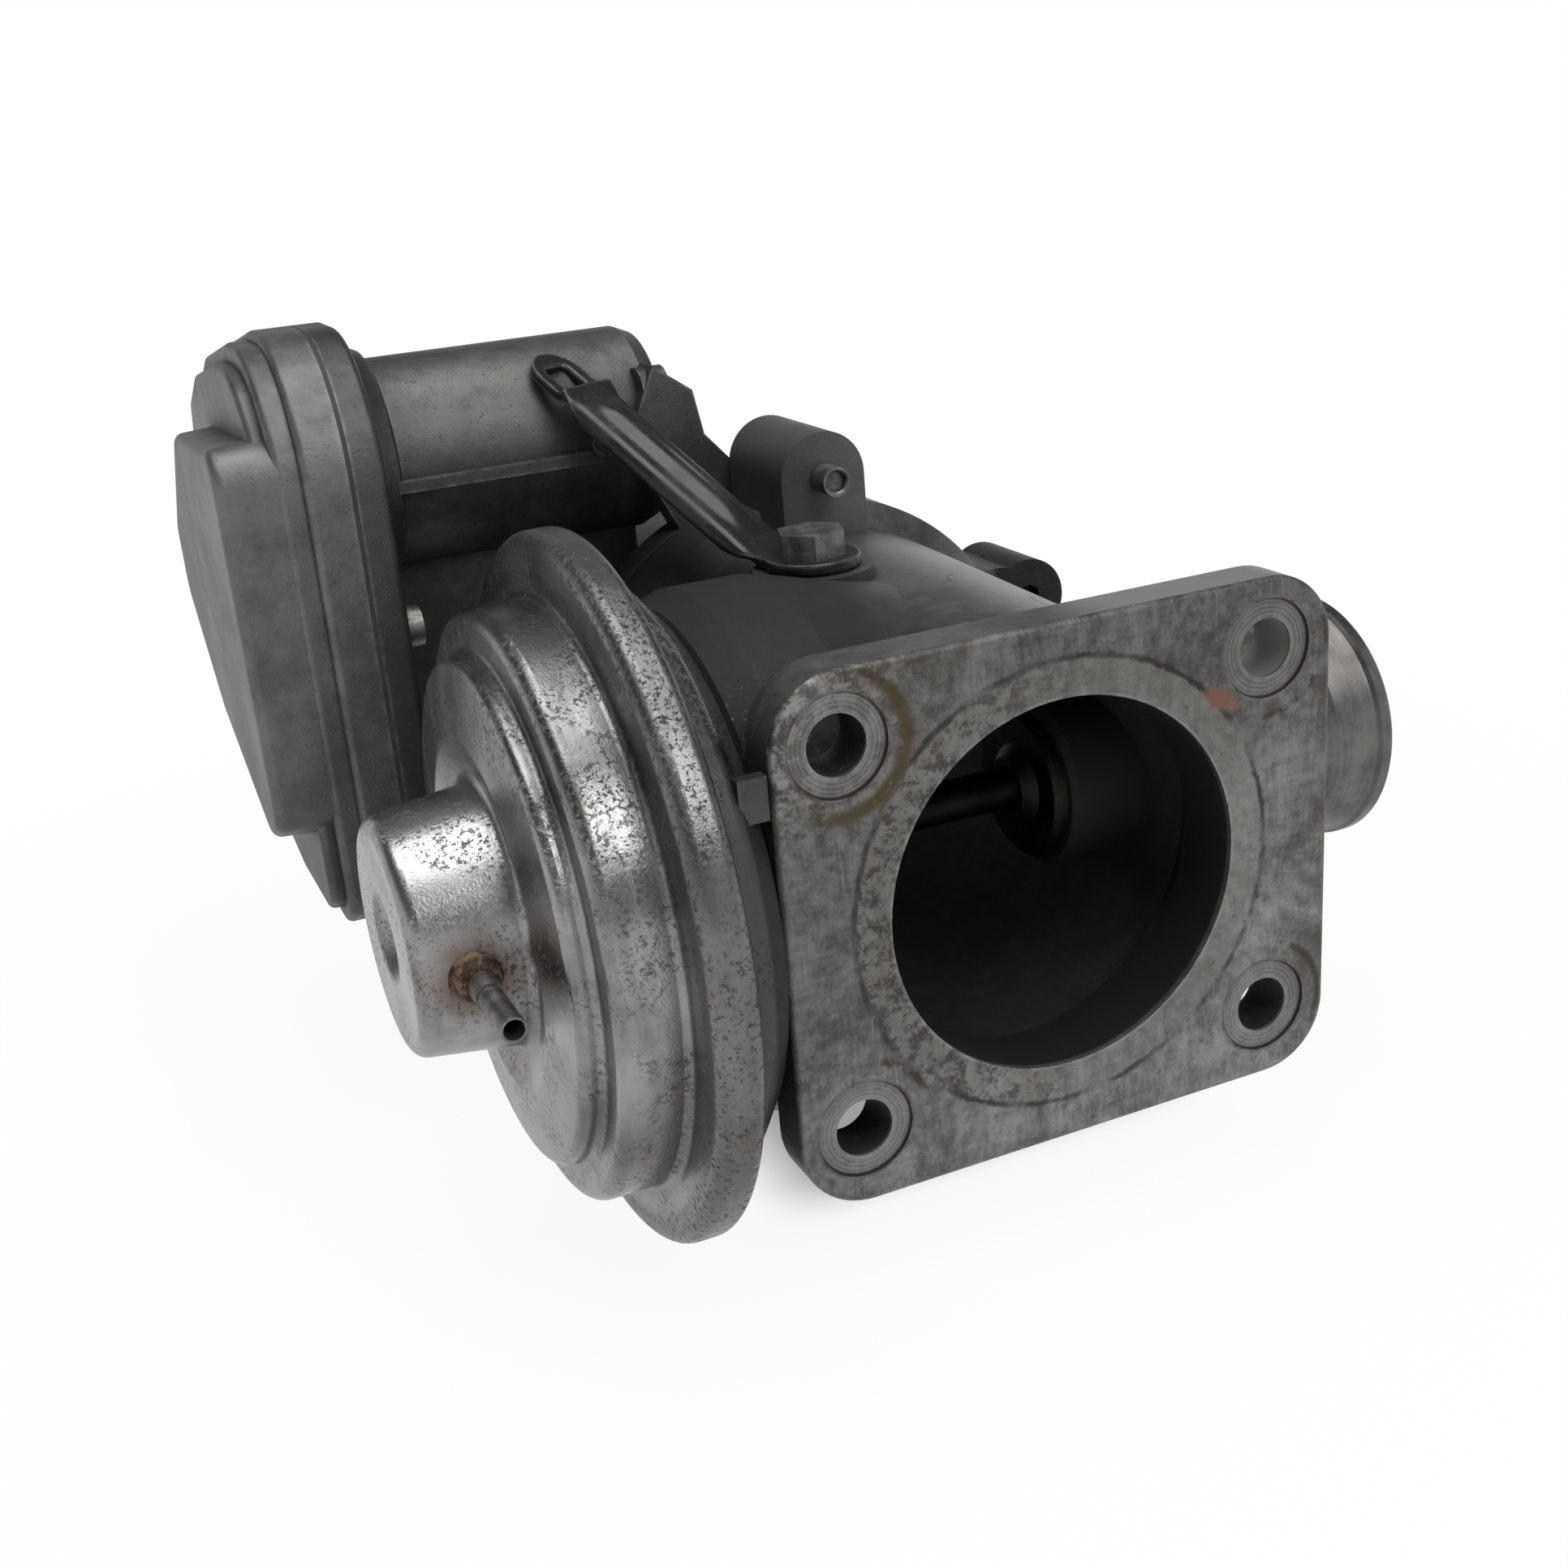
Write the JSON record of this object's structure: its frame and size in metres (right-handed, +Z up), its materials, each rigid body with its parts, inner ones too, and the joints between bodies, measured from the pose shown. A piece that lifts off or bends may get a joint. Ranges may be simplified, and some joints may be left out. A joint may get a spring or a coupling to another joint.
{
  "type": "egr valve",
  "caption": "Exhaust gas recirculation valve: cast duct with a vacuum actuator and poppet valve, joined to a motor-driven intake throttle with a gear case.",
  "frame": {"origin": "centre of the duct bore in the manifold flange face", "axes": "+Y along the duct away from the manifold, +X towards the gas inlet, +Z up with the pin lug on top"},
  "size_m": [0.175, 0.1945, 0.1365],
  "materials": {
    "cast_aluminium": "rough cast, machined on the faces",
    "plated_steel": "pressed, zinc plated, pitted",
    "fastener_steel": "dull zinc plate",
    "bearing_steel": "ground",
    "heat_stained_steel": "heat stained",
    "spring_steel": "dull",
    "tube_steel": "dull",
    "braze": "dull, stained",
    "black_paint": "satin black",
    "seal_rubber": "matt",
    "black_plastic": "matt",
    "gear_plastic": "matt",
    "motor_steel": "satin",
    "flap_aluminium": "rolled"
  },
  "bodies": {
    "housing": {"actuator_base": "plated_steel", "actuator_cap": "plated_steel", "actuator_spring": "spring_steel", "bracket_bolt": "fastener_steel", "can_screws": "fastener_steel", "case_screws": "fastener_steel", "cover_gasket": "seal_rubber", "diaphragm": "seal_rubber", "gas_inlet": "heat_stained_steel", "gear_cover": "cast_aluminium", "idler_pin": "fastener_steel", "joint_screws": "fastener_steel", "joint_seal": "seal_rubber", "lug_pin": "fastener_steel", "motor_can": "motor_steel", "motor_plate": "fastener_steel", "motor_screws": "fastener_steel", "nipple_braze": "braze", "shaft_bearings": "bearing_steel", "shaft_end_cap": "black_plastic", "stem_guide": "heat_stained_steel", "stem_seal": "seal_rubber", "support_bracket": "black_paint", "throttle_housing": "cast_aluminium", "vacuum_nipple": "tube_steel", "valve_housing": "cast_aluminium", "valve_seat": "heat_stained_steel"},
    "valve": {"valve_stem": "bearing_steel", "valve_disc": "heat_stained_steel", "diaphragm_plate": "fastener_steel", "lower_washer": "fastener_steel", "stem_nut": "fastener_steel"},
    "throttle": {"throttle_shaft": "bearing_steel", "throttle_flap": "flap_aluminium", "flap_screws": "fastener_steel", "sector_gear": "gear_plastic"},
    "idler": {"idler_gear": "gear_plastic"},
    "motor_rotor": {"motor_shaft": "bearing_steel", "motor_pinion": "bearing_steel"}
  },
  "joints": [
    {"name": "valve_slide", "type": "slide", "parent": "housing", "child": "valve", "axis": [-1, 0, 0], "range_m": [0, 0.006], "stiffness_N_per_m": 2500, "deforming": ["actuator_spring", "diaphragm"]},
    {"name": "throttle_turn", "type": "hinge", "parent": "housing", "child": "throttle", "pos_m": [0, 0.122, 0], "axis": [1, 0, 0], "range_deg": [0, 85], "stiffness_Nm_per_rad": 0.03},
    {"name": "idler_turn", "type": "hinge", "parent": "housing", "child": "idler", "pos_m": [-0.08, 0.12451, 0.0319], "axis": [1, 0, 0], "range_deg": [-370, 0]},
    {"name": "motor_turn", "type": "hinge", "parent": "housing", "child": "motor_rotor", "pos_m": [-0.08, 0.118, 0.055], "axis": [1, 0, 0], "range_deg": [0, 1401]}
  ],
  "couplings": [
    {"joint": "idler_turn", "follows": "throttle_turn", "ratio": -4.3333},
    {"joint": "motor_turn", "follows": "throttle_turn", "ratio": 16.467}
  ]
}
